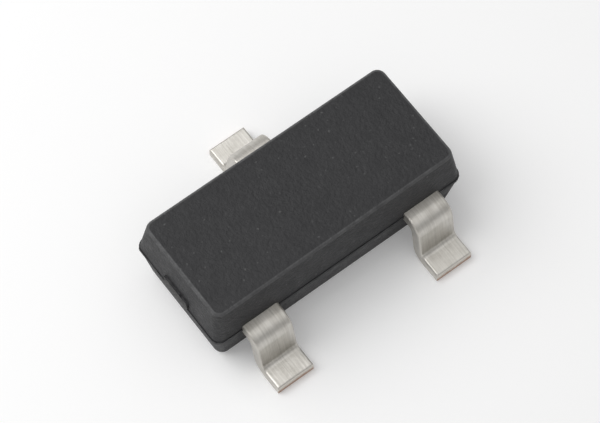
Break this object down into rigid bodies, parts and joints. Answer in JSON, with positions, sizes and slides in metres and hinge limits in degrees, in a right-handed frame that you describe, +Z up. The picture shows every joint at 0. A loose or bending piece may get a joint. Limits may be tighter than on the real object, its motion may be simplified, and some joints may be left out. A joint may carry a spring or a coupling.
{
  "type": "sot-23 transistor",
  "caption": "Surface-mount transistor: a small dark moulded block on tinned gull-wing leads, with its chip and bond wires sealed inside, for soldering flat to a circuit board.",
  "frame": {"origin": "on the board, under the middle of the body and midway between the tips of the leads", "axes": "+X along the body from the base lead to the emitter lead, +Y to the collector lead, +Z up from the board"},
  "size_m": [0.003, 0.0024, 0.001],
  "materials": {
    "epoxy": "finely pitted black moulding compound, as it leaves the mould",
    "tinned_lead": "matte tin plate on a stamped sheet, bare at the cut tips",
    "silicon": "polished top with sawn sides",
    "solder": "dull, as it froze",
    "gold_wire": "bright drawn wire"
  },
  "bodies": {
    "root": {"moulded_body": "epoxy", "base_lead": "tinned_lead", "emitter_lead": "tinned_lead", "collector_lead": "tinned_lead", "chip": "silicon", "chip_solder": "solder", "base_wire": "gold_wire", "emitter_wire": "gold_wire"}
  },
  "joints": []
}
